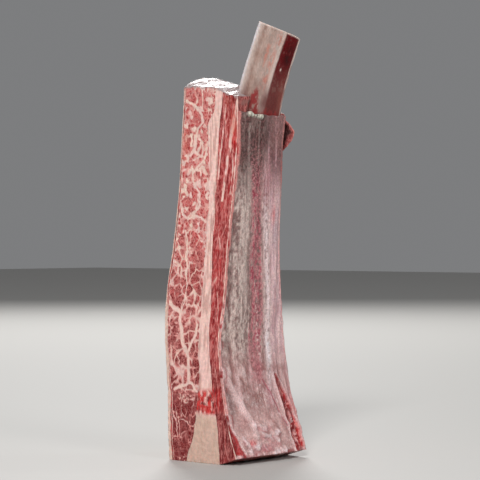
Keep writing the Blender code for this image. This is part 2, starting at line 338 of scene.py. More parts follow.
class Finish:
    """A material's nodes, with short calls for the few kinds that raw meat needs."""

    def __init__(self, name):
        self.material = bpy.data.materials.new(name)
        self.material.use_nodes = True
        self.nodes = self.material.node_tree.nodes
        self.links = self.material.node_tree.links
        self.shader = self.nodes["Principled BSDF"]
        self.place = self.add("ShaderNodeTexCoord").outputs["Object"]

    def add(self, kind, given=(), **settings):
        """A new node with its settings, and with what is given to each of its sockets."""
        node = self.nodes.new(kind)
        for key, value in settings.items():
            setattr(node, key, value)
        for socket, value in dict(given).items():
            self.feed(node.inputs[socket], value)
        return node

    def feed(self, socket, value):
        """Sets a socket from a number, a colour or another node's output."""
        if isinstance(value, bpy.types.NodeSocket):
            self.links.new(value, socket)
        elif isinstance(value, tuple) and len(value) == 3 and len(socket.default_value) == 4:
            socket.default_value = (*value, 1)
        else:
            socket.default_value = value

    def mask(self, name, output="Fac"):
        """A mask or colour stored on the mesh's points."""
        return self.add("ShaderNodeAttribute", attribute_name=name).outputs[output]

    def stretched(self, stretch):
        scale = tuple(1 / part for part in stretch)
        node = self.add("ShaderNodeMapping", {"Vector": self.place, "Scale": scale})
        return node.outputs["Vector"]

    def noise(self, size, detail=3.0, stretch=(1, 1, 1)):
        """Noise in lumps of a size in millimetres, stretched along the axes."""
        node = self.add("ShaderNodeTexNoise", {
            "Vector": self.stretched(stretch), "Scale": 1 / (size * MM), "Detail": detail})
        return node.outputs["Fac"]

    def cells(self, size, stretch=(1, 1, 1), wobble=0.8):
        """The distance to the borders of wobbly cells of a size in millimetres."""
        drift = self.add("ShaderNodeTexNoise", {
            "Vector": self.place, "Scale": 1 / (1.3 * size * MM)})
        push = self.add("ShaderNodeVectorMath", {
            0: drift.outputs["Color"], 1: (wobble * size * MM,) * 3, 2: self.stretched(stretch)},
            operation="MULTIPLY_ADD")
        node = self.add("ShaderNodeTexVoronoi", {
            "Vector": push.outputs[0], "Scale": 1 / (size * MM)}, feature="DISTANCE_TO_EDGE")
        return node.outputs["Distance"]

    def sum(self, first, second, kind="ADD"):
        return self.add("ShaderNodeMath", {0: first, 1: second}, operation=kind).outputs[0]

    def times(self, first, second):
        return self.sum(first, second, "MULTIPLY")

    def fit(self, value, low, high, to_low=0.0, to_high=1.0):
        """A value's range moved softly onto another."""
        return self.add("ShaderNodeMapRange", {
            "Value": value, "From Min": low, "From Max": high, "To Min": to_low, "To Max": to_high},
            interpolation_type="SMOOTHSTEP").outputs["Result"]

    def blend(self, amount, first, second, kind="MIX"):
        """One colour turning into another."""
        return self.add("ShaderNodeMix", {0: amount, 6: first, 7: second},
                        data_type="RGBA", blend_type=kind).outputs[2]

    def shaded(self, colour, amount):
        """A colour made darker or lighter by a value around 1."""
        grey = self.add("ShaderNodeCombineColor", dict.fromkeys(("Red", "Green", "Blue"), amount))
        return self.blend(1.0, colour, grey.outputs["Color"], "MULTIPLY")

    def surface(self, colour, roughness):
        self.feed(self.shader.inputs["Base Color"], colour)
        self.feed(self.shader.inputs["Roughness"], roughness)

    def wet(self, gloss, gloss_roughness, glow, glow_depth, shine=0.22):
        """The moist film on top, the light that sinks in, and the shine of the meat itself."""
        self.shader.inputs["Specular IOR Level"].default_value = shine
        self.shader.inputs["Coat Weight"].default_value = gloss
        self.shader.inputs["Coat Roughness"].default_value = gloss_roughness
        self.shader.inputs["Subsurface Weight"].default_value = glow
        self.shader.inputs["Subsurface Radius"].default_value = GLOW_SPREAD
        self.shader.inputs["Subsurface Scale"].default_value = glow_depth * MM

    def relief(self, height, depth, strength=1.0):
        """Fine relief below the mesh's own, its depth in millimetres."""
        bump = self.add("ShaderNodeBump", {
            "Height": height, "Distance": depth * MM, "Strength": strength})
        self.feed(self.shader.inputs["Normal"], bump.outputs["Normal"])


def srgb(red, green, blue):
    """A colour as a screen shows it, 0 to 255, turned into the light it stands for."""
    parts = (value / 255 for value in (red, green, blue))
    return tuple(v / 12.92 if v <= 0.04045 else ((v + 0.055) / 1.055) ** 2.4 for v in parts)


def flesh(name, bead_size, stretch, beading, depth):
    """The finish of cut meat: its tint, with beads of lean in pale threads, finer than the mesh."""
    made = Finish(name)
    tint, fat = made.mask("tint", "Color"), made.mask("fat")
    lean = made.sum(1.0, fat, "SUBTRACT")
    grain = made.noise(0.8, 4.0, stretch)
    beads = made.cells(bead_size, stretch)
    pale = made.fit(beads, 0.05, 0.2, beading, 0.0)
    patchy = made.fit(made.noise(2.6, 2.0), 0.38, 0.6, 0.25, 1.0)
    dark = made.fit(made.sum(beads, made.noise(1.6, 3.0, stretch)), 0.55, 1.05, 0.0, depth)
    colour = made.blend(made.times(dark, lean), tint, LEAN_DEEP)
    threads = made.times(made.times(pale, lean), patchy)
    colour = made.blend(threads, colour, PINK)
    colour = made.shaded(colour, made.fit(made.noise(2.2, 5.0), 0.3, 0.7, 0.9, 1.08))
    made.surface(colour, made.fit(grain, 0.3, 0.7, 0.36, 0.58))
    made.relief(made.sum(grain, made.times(pale, 0.4)), 0.35, 0.8)
    return made


LEAN_DEEP = srgb(98, 10, 14)
LEAN_DARK = srgb(112, 12, 18)
LEAN_LIGHT = srgb(184, 54, 55)
PINK = srgb(214, 136, 130)
FAT_COOL = srgb(232, 194, 186)
FAT_WARM = srgb(236, 206, 190)
ORANGE = srgb(206, 92, 66)
TOP_WHITE = srgb(160, 142, 140)
TOP_SPECK = srgb(120, 84, 92)


def meat_tint(skin, fat, tone, seed):
    """Lean that turns pink and then cream as the share of fat rises."""
    place = skin.x, skin.y, skin.z
    lean = between(LEAN_DARK, LEAN_LIGHT, tone)
    cream = between(FAT_COOL, FAT_WARM, 0.5 + 0.8 * rough(*place, (6, 6, 12), seed))
    tint = lay(lean, PINK, ease(fat / 0.55))
    return lay(tint, cream, ramp(fat, 0.4, 0.45))


def top_cover(skin, tint, fat):
    """The top is under a smear of white fat with small dark specks."""
    place = skin.x, skin.y, skin.z
    below = meat_top(skin.x, skin.y) - skin.z
    smear = 0.7 * ease((1.5 + 1.6 * rough(*place, (4, 4, 3), 94) - below) / 0.8) * (skin.cut != 0)
    cover = np.maximum(skin.top * ease(1.5 + 0.8 * rough(*place, 5, 93)), smear)
    specks = ramp(rough(*place, 1.6, 95), 0.28, 0.25)
    specks = specks * ease(0.5 + rough(*place, 9, 97))
    white = between(TOP_WHITE, TOP_SPECK, 0.5 * specks)
    return tint + (white - tint) * cover[..., None], np.maximum(fat, cover)


def put_relief(skin, more, torn_top=True):
    """Moves the cut faces out sideways, in slow waves and what more is given, and the top up, in
    lumps with crumbs on them. The foot stays flat."""
    place = skin.x, skin.y, skin.z
    waves = 0.45 * mottle(*place, (40, 22, 30), 81) + 0.14 * rough(*place, 3, 83)
    lumps = rough(*place, 8, 87) + 0.25 * mottle(*place, 2, 89)
    skin.x = skin.x + skin.cut * (waves + more)
    if torn_top:
        skin.z = skin.z + np.where(skin.top, lumps, 0)


MUSCLE_COLUMNS = 56
MUSCLE_LAYERS = 72
MUSCLE_DEPTH = 31.0
BUNDLE_SIZE = (8.5, 6.0, 8.0)
BEAD_SIZE = (2.9, 2.1, 2.4)
# The lowest part is one plain lean block. From the second height up the marbling grows rich.
BLOCK_TOP, BLOCK_FADE = 42, 6
RICH_FROM, RICH_RUN = 110, 60
# Veins of fat on each cut face: corners as (share of the way from the seam to the back, height),
# then the vein's width.
SHOWN_VEINS = (
    (((0.98, 239), (0.7, 236), (0.46, 231), (0.22, 224), (0.43, 219), (0.5, 213), (0.56, 206)),
     2.4),
    (((0.5, 215), (0.53, 209)), 5.0),
    (((0.47, 249), (0.42, 240), (0.44, 232)), 1.6),
    (((0.02, 211), (0.08, 204), (0.2, 198), (0.4, 194), (0.62, 191)), 1.8),
    (((0.62, 191), (0.56, 185), (0.36, 178), (0.3, 170), (0.46, 163)), 2.0),
    (((0.86, 163), (0.64, 160), (0.45, 162), (0.2, 161), (0.03, 158)), 2.0),
    (((0.46, 163), (0.44, 161)), 3.4),
    (((0.72, 152), (0.62, 146), (0.58, 138), (0.59, 133)), 1.5),
    (((0.58, 138), (0.59, 134)), 3.2),
    (((0.59, 133), (0.5, 128), (0.54, 124), (0.46, 116), (0.48, 108), (0.6, 99)), 1.3),
    (((0.54, 126), (0.54, 123)), 2.8),
    (((0.48, 109), (0.48, 107)), 2.6),
    (((0.95, 104), (0.88, 102), (0.62, 98), (0.58, 89), (0.48, 77), (0.36, 71), (0.36, 52)), 3.5),
    (((0.04, 90), (0.1, 84), (0.29, 75), (0.37, 70)), 2.2),
    (((0.9, 47), (0.67, 49), (0.4, 51), (0.22, 52), (0.05, 47), (-0.1, 46)), 2.4),
    (((0.27, 154), (0.26, 152)), 2.4),
)
FAR_VEINS = (
    (((0.1, 236), (0.34, 228), (0.6, 222), (0.92, 225)), 2.3),
    (((0.6, 222), (0.52, 206), (0.66, 190), (0.5, 174), (0.56, 160)), 2.0),
    (((0.02, 190), (0.24, 184), (0.5, 174)), 1.6),
    (((0.97, 168), (0.76, 160), (0.56, 160), (0.3, 150), (0.22, 138), (0.4, 124)), 1.9),
    (((0.9, 128), (0.66, 120), (0.4, 124), (0.34, 108), (0.46, 92), (0.36, 78)), 2.2),
    (((0.1, 100), (0.34, 96)), 1.4),
    (((0.94, 84), (0.7, 80), (0.36, 78), (0.44, 60), (0.4, 46)), 2.0),
    (((0.88, 45), (0.4, 46), (0.02, 49)), 1.9),
)


def on_cuts(u, z, skin, shown, far, depth):
    """Strokes on the two cut faces, from lines given in shares of the layer's depth."""
    drawn = []
    for lines in (shown, far):
        drawn.append(strokes(u, z, [([(share * depth, height) for share, height in corners], wide)
                                    for corners, wide in lines]))
    return np.where(skin.x < 0, *drawn)


muscle = lay_up(seam_back, cap_front, MUSCLE_COLUMNS, MUSCLE_LAYERS)
at = x, y, z = muscle.x, muscle.y, muscle.z
low = fade(z, BLOCK_TOP, BLOCK_FADE)
rich = ramp(z, RICH_FROM, RICH_RUN)
drift = [1.7 * rough(*at, (6, 6, 7), seed) + 0.5 * mottle(*at, 2.2, seed + 3)
         for seed in (51, 57)]
wavy = x, y + drift[0], z + drift[1]
small, own, bead = bundles(*wavy, BEAD_SIZE, 71)
deep, number, _ = bundles(*bead, BUNDLE_SIZE, 61)
sheath = bundles(*wavy, BUNDLE_SIZE, 61)[0]
plenty = 0.14 + 0.24 * rough(*bead, (7, 7, 9), 67) - 0.29 * (1 - rich)
width = np.clip(plenty, 0.02, 0.45)
web = (1 - ease((deep - 0.02) / width)) * ease(0.45 + width / 0.2)
threads = (1 - ease(small / 0.36)) * (0.22 + 0.3 * rich + 0.35 * rough(*at, 6, 73))
swirl = np.minimum(np.abs(rough(*at, (7, 7, 6), 75)) / 0.13,
                   np.abs(rough(*at, (9, 5, 9), 76)) / 0.1)
curls = 0.78 * (1 - ease(swirl)) * ease(0.75 + 1.2 * rough(*at, (12, 9, 10), 78))
sheaths = fade(sheath, 0.03, 0.15) * (0.78 - 0.26 * ramp(z, 130, 50))
sheaths = sheaths * ease(0.9 + 1.1 * rough(*at, 7, 74))
web = np.maximum(web, sheaths)
fat = np.maximum(np.maximum(web, threads) * (1 - 0.8 * low), curls * (0.25 + 0.75 * low))
u = muscle.depth * MUSCLE_DEPTH + 0.9 * rough(*at, (3.5, 3.5, 4), 77)
v = z + 0.9 * rough(*at, (3.5, 3.5, 4), 79)
veins = on_cuts(u, v, muscle, SHOWN_VEINS, FAR_VEINS, MUSCLE_DEPTH)
edge_fat = 1 - ramp((1 - muscle.depth) * MUSCLE_DEPTH, 0.2, 0.9)
fat = np.maximum(fat, np.maximum(veins, 0.9 * edge_fat))
tone = (0.46 + 0.65 * (own - 0.5) + 0.3 * (number - 0.5) + 0.35 * rough(*at, 5, 85)
        + 0.35 * ramp(z, 120, 80) - 0.55 * fade(z, 60, 90) - 0.2 * low)
tint = meat_tint(muscle, fat, tone, 91)
warm = ramp(muscle.depth, 0.72, 0.15) * ramp(z, 192, 6) * fade(z, 216, 6) * (x < 0)
tint = lay(tint, ORANGE, 0.45 * warm * (1 - fat))
bulge = 0.25 * (1 - web) + 0.18 * ease(small / 0.5) - 0.2
tint, fat = top_cover(muscle, tint, fat)
put_relief(muscle, bulge * (1 - veins))
finish = flesh("marbled_lean_and_fat", 1.5, (1, 1, 1.15), 0.7, 0.45)
finish.wet(0.18, 0.18, 0.12, 0.9)
build("marbled_muscle_piece", "marbled_muscle", "marbled_lean", finish, muscle,
      tint=tint, fat=np.maximum(fat, 0.55 * low))

# The fat seam. A firm band of cream fat between the two meats, which widens into a block at the
# foot. Just above that block it is torn and soaked with blood.
SEAM_COLUMNS = 56
SEAM_LAYERS = 36
SEAM_BLOCK_TOP, SEAM_BLOCK_FADE = 28, 6
SOAK_START, SOAK_END = 31, 45
SEAM_SHADE = srgb(186, 138, 128)
SEAM_BLOCK = srgb(204, 172, 154)
SEAM_LIGHT = srgb(250, 206, 198)
BLOOD = srgb(200, 24, 26)

seam = lay_up(seam_front, seam_back, SEAM_COLUMNS, SEAM_LAYERS)
at = x, y, z = seam.x, seam.y, seam.z
streaks = rough(*at, (2.5, 1.4, 13), 101)
fat = np.ones_like(z)
tint = lay(meat_tint(seam, fat, 0.55 + 0.5 * streaks, 99), SEAM_LIGHT, 0.55)
tint = lay(tint, SEAM_SHADE, 0.6 * ramp(streaks, -0.1, 0.6) + 0.06)
tint = lay(tint, SEAM_BLOCK, 0.8 * fade(z, SEAM_BLOCK_TOP, SEAM_BLOCK_FADE))
soak = ramp(z, SOAK_START, 3) * fade(z, SOAK_END, 5)
soak = soak * ease(1.1 + 0.6 * rough(*at, (5, 3, 5), 103))
clots = ease(0.75 + 1.9 * rough(*at, (3.5, 1.8, 3.0), 105)) * soak
tint = lay(lay(tint, PINK, 0.35 * soak), BLOOD, 0.95 * clots)
tint = lay(tint, LEAN_DEEP, 0.8 * soak * ramp(rough(*at, (2.2, 1.6, 2.6), 107), 0.22, 0.2))
tint, fat = top_cover(seam, tint, fat)
put_relief(seam, 0.6 * soak * streaks + 0.08 * streaks)
finish = flesh("seam_fat", 2.2, (1, 1, 2), 0.3, 0.5)
finish.wet(0.2, 0.25, 0.3, 2.0)
build("fat_seam_piece", "fat_seam", "seam_fat", finish, seam,
      tint=tint, fat=fat * (1 - 0.7 * clots))

# The rib meat. Dark red meat beside and behind the bone, with its fibres running up the rib and
# pale sinew between them.
RIB_COLUMNS = 56
RIB_LAYERS = 32
RIB_DEPTH = 14.0
FRONT_EDGE = (-33.0, -26.4, -18.1, -14.2, -15.2, -16.0, -19.0, -21.3, -22.4)
SKIN_THICKNESS = 1.0
CHANNEL_DEPTH, CHANNEL_START, CHANNEL_RUN = 2.0, -1.2, 1.4
RIB_KNOT = srgb(120, 62, 38)
# Painted shade for the meat's covered front.
FRONT_SHADE = srgb(96, 34, 30)
# Sinews on each cut face, given like the veins.
SHOWN_SINEWS = (
    (((0.02, 237), (0.14, 231), (0.26, 226), (0.34, 216), (0.41, 205), (0.5, 188), (0.57, 172)),
     2.0),
    (((0.18, 229), (0.38, 208), (0.46, 196)), 2.6),
    (((0.76, 235), (0.8, 218), (0.84, 200), (0.86, 186)), 0.9),
    (((0.2, 205), (0.14, 190), (0.16, 176)), 0.9),
    (((0.62, 150), (0.5, 142), (0.42, 134)), 0.8),
    (((0.55, 112), (0.36, 100), (0.3, 90)), 0.9),
    (((0.2, 82), (0.1, 76), (0.02, 70)), 1.8),
    (((0.6, 66), (0.46, 56), (0.4, 46)), 0.9),
    (((0.83, 31), (0.84, 16), (0.84, 4)), 1.1),
    (((0.46, 28), (0.52, 16), (0.5, 4)), 0.9),
    (((0.98, 205), (0.97, 150)), 0.8),
)
FAR_SINEWS = (
    (((0.8, 232), (0.62, 210), (0.55, 180), (0.6, 150), (0.48, 120)), 1.8),
    (((0.2, 170), (0.34, 140), (0.3, 110)), 1.2),
    (((0.7, 100), (0.6, 70), (0.66, 40)), 1.5),
    (((0.25, 70), (0.35, 44), (0.3, 20)), 1.1),
)


def blot(u, z, at, size):
    """A soft round spot, 1 at its middle."""
    return np.exp(-(((u - at[0]) / size[0]) ** 2 + ((z - at[1]) / size[1]) ** 2))


def skin_front(x, z):
    over_bone = along(BONE_LEVELS, BONE_Y, z) - BONE_HALF_DEPTH - GAP - SKIN_THICKNESS
    bed = bone_bed(x, z)
    return bed * over_bone + (1 - bed) * along(LEVELS, FRONT_EDGE, z)


def skin_back(x, z):
    return skin_front(x, z) + SKIN_THICKNESS


def rib_front(x, z):
    """The meat's front, with the channel that the bone lies in."""
    plain = skin_back(x, z)
    beside = np.abs(x - along(BONE_LEVELS, BONE_X, z)) - BONE_HALF_WIDTH
    channel = fade(beside, CHANNEL_START, CHANNEL_RUN)
    return plain + channel * (along(BONE_LEVELS, BONE_Y, z) + CHANNEL_DEPTH - plain)


rib = lay_up(rib_front, seam_front, RIB_COLUMNS, RIB_LAYERS, shown=("front",))
at = x, y, z = rib.x, rib.y, rib.z
inside = rib.depth * RIB_DEPTH
fibres = rough(x, y + 0.1 * mottle(*at, (9, 9, 20), 109), z, (1.3, 1.0, 11), 111)
slant = rough(x, y + 0.45 * z, z, (2.0, 1.5, 9), 115)
fat = 0.5 * ramp(fibres, 0.2, 0.5) + 0.4 * ramp(slant, 0.32, 0.4)
fat = fat * (0.45 + 0.55 * ramp(z, 40, 80))
u = inside + 0.5 * rough(*at, (2.5, 2.5, 5), 113)
sinews = on_cuts(u, z, rib, SHOWN_SINEWS, FAR_SINEWS, RIB_DEPTH)
rim = (1 - ease((inside - 0.3 - 0.8 * rough(*at, (3, 3, 4), 119)) / 0.8)) * (rib.cut != 0)
broken = 0.6 * ease(0.8 + 1.4 * rough(*at, (1.5, 1.5, 6), 114))
broken = 0.35 + broken - 0.35 * fade(z, 40, 30)
sinews = (0.7 + 0.25 * ramp(z, 130, 40)) * sinews * broken
fat = np.clip(np.maximum(fat, np.maximum(sinews, 0.85 * rim)), 0, 1)
deeper = fade(z, 30, 70)
tone = 0.5 + 0.5 * rough(*at, (4, 2, 14), 117) + 0.35 * fibres - 0.5 * deeper
tint = meat_tint(rib, fat, tone, 118)
shown = x < 0
red_spot = blot(inside, z, (2.2, 212), (1.6, 5.0)) * shown
glow = blot(inside, z, (3.4, 222), (2.6, 9.0)) * shown
knot = blot(inside, z, (8.0, 238), (4.5, 3.5)) * shown
soak = ramp(z, 32, 4) * fade(z, 46, 6) * ease(0.5 + fibres)
tint = lay(lay(tint, ORANGE, 0.55 * glow), BLOOD, np.maximum(0.9 * red_spot, 0.6 * soak))
tint = lay(tint, RIB_KNOT, 0.7 * knot * ease(0.6 + fibres))
# The uncut front of the meat, under the membrane and beside the bone, is painted dark as shade.
tint = lay(tint, FRONT_SHADE, 0.9 * (rib.front & (rib.cut == 0)))
tint, fat = top_cover(rib, tint, fat)
put_relief(rib, 0.25 * fibres + 0.15 * slant)
finish = flesh("rib_lean", 1.6, (1, 1, 5), 0.5, 0.4)
finish.wet(0.22, 0.15, 0.12, 0.9)
build("rib_meat_piece", "rib_meat", "rib_lean", finish, rib, tint=tint, fat=fat)

# The fat cap. A thin rind of outer fat down the back, dried by the air. It is lumpy, with strands
# of lean where it was trimmed close and a few shallow marks of the knife.
CAP_COLUMNS = 92
CAP_LAYERS = 6
RIND_PALE = srgb(230, 204, 184)
RIND_DARK = srgb(196, 152, 132)
RIND_CUT = srgb(222, 188, 174)
KNIFE_MARKS = ((((-18, 214), (4, 203), (12, 204)), 0.9), (((-26, 92), (-8, 84), (4, 86)), 0.9))

cap = lay_up(cap_front, cap_back, CAP_COLUMNS, CAP_LAYERS, shown=("back",))
at = x, y, z = cap.x, cap.y, cap.z
lumps = rough(*at, (14, 14, 18), 121)
crumbs = mottle(*at, (2.5, 2.5, 3), 125)
bare = ramp(rough(x + 0.15 * z, y, z, (8, 8, 22), 123), 0.1, 0.6) * cap.back
strands = ramp(rough(x + 0.3 * z, y, z, (1.4, 3, 12), 127), -0.1, 0.5)
knife = 0.6 * strokes(x + 0.8 * rough(*at, 6, 129), z, KNIFE_MARKS) * cap.back
rind = between(RIND_PALE, RIND_DARK, 0.45 + 0.6 * lumps + 0.25 * crumbs)
rind = lay(rind, PINK, 0.4 * ease(rough(*at, (20, 20, 26), 128)))
tint = lay(rind, PINK, 0.8 * bare)
tint = lay(tint, LEAN_LIGHT, 0.75 * ramp(bare, 0.35, 0.6) * (1 - 0.85 * strands))
tint = lay(tint, SEAM_SHADE, 0.5 * knife)
inward = (1 - cap.depth) * along(LEVELS, CAP_THICKNESS, z) - 0.5 * rough(*at, (3, 3, 4), 122)
on_edge = (cap.cut != 0) * 1.0
tint = lay(tint, RIND_CUT, 0.85 * on_edge)
lean_in = on_edge * ease((inward - 0.7 - 1.6 * fade(z, 95, 20)) / 0.7)
tint = lay(tint, between(LEAN_DARK, LEAN_LIGHT, 0.6 + crumbs), lean_in)
fat = (1 - 0.7 * bare) * (1 - 0.8 * lean_in)
swell = 1.1 * lumps + 0.25 * crumbs + 0.15 * strands * bare
cap.y = cap.y + cap.back * (swell - 0.4 * knife - 0.35 * bare - 0.5)
tint, fat = top_cover(cap, tint, fat)
put_relief(cap, 0)
finish = flesh("outer_fat", 2.2, (1, 1, 1.6), 0.4, 0.5)
finish.wet(0.12, 0.35, 0.3, 2.0)
build("fat_cap_piece", "fat_cap", "outer_fat", finish, cap, tint=tint, fat=fat)

# The membrane. The thin wet skin over the bone side, with stripes where bone, blood and fat lie
# under it, fine cords along it, loose folds towards the foot and a slit beside the bone. Some
# light is painted in too: the bone's shadow over its top, highlights on a stripe, a ridge, the
# folds and a row of beads, shade in a crease, and glints in pink specks.
SKIN_COLUMNS = 116
SKIN_LAYERS = 2
SKIN_TOP = 229.5
SKIN_GREY = srgb(120, 94, 90)
SKIN_PALE = srgb(200, 180, 172)
# Painted shadow under the bone.
SKIN_SHADOW = srgb(56, 20, 18)
SKIN_UMBER = srgb(92, 62, 58)
SKIN_PURPLE = srgb(154, 62, 78)
SKIN_GLINT_PINK = srgb(204, 140, 142)
SKIN_STRIPE = srgb(222, 190, 188)
SKIN_WHITE = srgb(228, 222, 226)
SKIN_LAVENDER = srgb(212, 176, 182)
SKIN_BLUE = srgb(150, 144, 152)
SKIN_TAN = srgb(150, 106, 102)
SKIN_FOOT = srgb(204, 168, 164)
SKIN_BROWN = srgb(168, 112, 84)
TORN_RED = srgb(128, 26, 26)
GRISTLE = srgb(212, 212, 196)
RIDGE = ((-31.6, 60), (-26.1, 48), (-20.2, 35), (-15.3, 25), (-13, 18))
CREASE = ((5.1, 53), (10.4, 44.6), (16.3, 31), (21, 22))
FOOT_FOLDS = (
    (((-21, 9), (-12, 12.5), (-2, 12), (8, 15)), 5.0), (((-8, 19), (1, 17), (10, 20)), 4.0),
    (((-25, 17), (-17, 12)), 4.0), (((2, 7), (12, 8.5)), 4.0),
    (((-14, 26), (-5, 23), (2, 24)), 3.4))
TOP_STREAKS = ((((-14, 222), (-12.5, 188)), 2.2), (((-4, 224), (-3, 196)), 2.0),
               (((8, 215), (7, 190)), 1.6))
GRISTLE_LINE = ((-15.5, 229), (-9, 228.4), (-3, 227.6))
# Painted glints along a row of beads.
BEAD_GLINT_LINE = ((-1.0, 118), (1.5, 96), (3.5, 78), (5.5, 62))
SLIT = ((18.8, 56), (21.9, 48), (25.4, 36), (28.3, 22), (29.8, 6), (30, -4))
FOOT_ZONE, LOW_ZONE = (26, 14), (58, 25)
SLIT_LEVELS = (0, 15, 41, 50, 57)
SLIT_HALF = (5.0, 4.9, 3.7, 2.6, 0.4)
STRIPE_LEVELS = (40, 50, 93, 126, 146, 166, 186, 226)
PURPLE_X = (-5, -3.4, 1.0, -0.3, -1.3, -3.1, -5, -8)
PURPLE_HALF = (6.5, 6.6, 6.8, 6.5, 4.9, 4.7, 4.7, 8)
PALE_X = (10.7, 11.5, 13.5, 11.4, 9.7, 7.4, 5.5, 3)
# Single spots of colour: where, how wide and high, what colour and how strong. The two dark
# spots near the top deepen the painted shadow under the bone.
SPOTS = (
    ((-18.4, 13), (2.6, 2.2), BLOOD, 0.8), ((-8, 8), (6, 3), SKIN_PURPLE, 0.4),
    ((16.5, 163), (1.6, 6), BLOOD, 0.5), ((29, 132), (2.5, 9), SKIN_BROWN, 0.6),
    ((2, 60), (5, 9), SKIN_PURPLE, 0.5), ((-25, 225), (4, 8), SKIN_SHADOW, 0.6),
    ((-30, 40), (3, 9), SKIN_UMBER, 0.7), ((23, 193), (1.6, 9), TORN_RED, 0.7),
    ((9, 42), (4, 11), SKIN_PURPLE, 0.4), ((6, 184), (4, 17), SKIN_PURPLE, 0.45),
    ((15, 188), (9, 22), SKIN_PURPLE, 0.16), ((2, 214), (9, 9), SKIN_SHADOW, 0.5))


def skin_ceiling(x, y):
    return SKIN_TOP + 1.2 * mottle(x, y, 0 * x, 5, 131)


membrane = lay_up(skin_front, skin_back, SKIN_COLUMNS, SKIN_LAYERS, shown=("front",),
                  ceiling=skin_ceiling)
x, z = membrane.x, membrane.z
flat = 0 * x
half = half_width(z)
cords = rough(x + 0.04 * z, flat, z, (2.6, 9, 26), 133)
fine = rough(x, flat, z, (1.2, 9, 2.2), 135)
hairs = rough(x + 0.02 * z, flat, z, (1.0, 9, 22), 138)
wrinkle = rough(x + 0.3 * z, flat, z, (4, 9, 6), 139)
foot_zone = fade(z, *FOOT_ZONE)
low_zone = fade(z, *LOW_ZONE)
purple_x = along(STRIPE_LEVELS, PURPLE_X, z)
purple_half = along(STRIPE_LEVELS, PURPLE_HALF, z)
pale_x = along(STRIPE_LEVELS, PALE_X, z)
from_purple = (np.abs(x - purple_x - 0.8 + 1.4 * cords) - purple_half) / 4.5
purple = (1 - ease(from_purple + 0.5)) * fade(z, 185, 35) * ramp(z, 42, 16)
pale = hump(x - pale_x + 0.7 * wrinkle, 3.4) * (1 - 0.7 * ramp(z, 185, 30)) * ramp(z, 24, 16)
tone = 0.5 + 0.75 * cords + 0.75 * fine + 0.25 * hairs + 0.35 * wrinkle
tint = between(SKIN_GREY, SKIN_PALE, tone)
tint = lay(tint, SKIN_UMBER, 0.5 * ramp(rough(x, flat, z, (4, 9, 20), 134), 0.1, 0.4))
column = hump(x + 11 + 0.1 * (z - 146) / 10, 2.6) * ramp(z, 90, 20) * fade(z, 190, 20)
tint = lay(tint, SKIN_PALE, 0.6 * column)
right_side = ramp(x - pale_x, 1.5, 3)
misty = between(SKIN_LAVENDER, SKIN_STRIPE, 0.5 + cords + 0.9 * fine + 0.35 * hairs)
tint = lay(tint, misty, 0.9 * right_side)
tint = lay(tint, SKIN_BLUE, 0.45 * blot(x, z, (19, 153), (3, 13)))
tint = lay(tint, SKIN_TAN, 0.42 * right_side * ramp(-cords - 0.5 * hairs, 0.2, 0.35))
tint = lay(tint, SKIN_PURPLE, purple * (0.58 + 0.9 * fine + 0.35 * cords))
tint = lay(tint, SKIN_STRIPE, 0.95 * pale * ease(0.85 + 0.5 * hairs + 0.6 * fine))
tint = lay(tint, SKIN_WHITE, 0.4 * pale ** 3 * ease(0.8 + fine))
# A painted highlight where the pale stripe catches the light.
stripe_highlight = blot(x - 0.25 * (70 - z) / 2, z, (14.0, 70), (1.8, 14))
tint = lay(tint, SKIN_WHITE, 0.8 * stripe_highlight * ease(0.8 + fine))
creased = between(SKIN_TAN, SKIN_STRIPE, 0.25 + 0.6 * wrinkle + 0.4 * hairs)
tint = lay(tint, creased, 0.8 * low_zone * (1 - 0.8 * pale))
tint = lay(tint, between(SKIN_FOOT, SKIN_TAN, 0.28 + wrinkle), 0.85 * foot_zone)
# Painted shadow: the membrane darkens towards its top, where the bone above shades it.
bone_shadow = ramp(z, 165, 40) * ease(1.0 + 0.9 * cords + 0.5 * fine) * (1 - 0.4 * pale)
tint = lay(tint, SKIN_SHADOW, 0.88 * bone_shadow)
tint = lay(tint, SKIN_PALE, 0.2 * ramp(z, 180, 30) * ramp(fine + 0.6 * wrinkle, 0.35, 0.3))
streaks = strokes(x + 0.9 * wrinkle, z, TOP_STREAKS)
tint = lay(tint, SKIN_PALE, 0.28 * streaks * ease(0.8 + fine + cords))
tint = lay(tint, SKIN_TAN, 0.45 * ramp(z, 196, 20) * ramp(x, 4, 8))
# The ridge is raised, and painted pale along its crest as a painted sheen.
lit_ridge = strokes(x, z, [(RIDGE, 6.0)])
# The crease is sunk, and painted dark along it as painted shade.
shaded_crease = strokes(x, z, [(CREASE, 1.3)])
tint = lay(lay(tint, SKIN_STRIPE, 0.75 * lit_ridge), SKIN_PURPLE, 0.8 * shaded_crease)
for at, size, colour, amount in SPOTS:
    tint = lay(tint, colour, amount * blot(x, z, at, size))
off_slit = off_line(x, z, SLIT)
slit_half = np.interp(z, SLIT_LEVELS, SLIT_HALF)
slit = fade(off_slit - slit_half, -0.3, 0.9)
lips = hump(off_slit - slit_half - 1.2, 1.0) * ease((60 - z) / 12)
beside = ramp(x, 20, 3) * fade(z, 36, 16) * (x > 26) * ease(0.5 + cords)
tint = lay(lay(tint, SKIN_STRIPE, 0.8 * lips), LEAN_LIGHT, 0.5 * beside)
tint = lay(tint, between(TORN_RED, BLOOD, 0.15 + 0.8 * hairs), slit)
tint = lay(tint, LEAN_DEEP, 0.75 * slit * (1 - ease(off_slit / slit_half)))
tint = lay(tint, PINK, 0.8 * slit * ramp(rough(x, flat, z, (1.6, 9, 3), 142), 0.25, 0.2))
inset = x + half
torn = ease((118 - z) / 25) * ramp(z, 8, 12)
ragged = rough(flat, flat, z, (9, 9, 6), 144)
left_rim = 1 - ease((inset - 0.6 - 0.8 * ragged) / 1.4)
right_rim = fade(half - x, 0.4, 1.6)
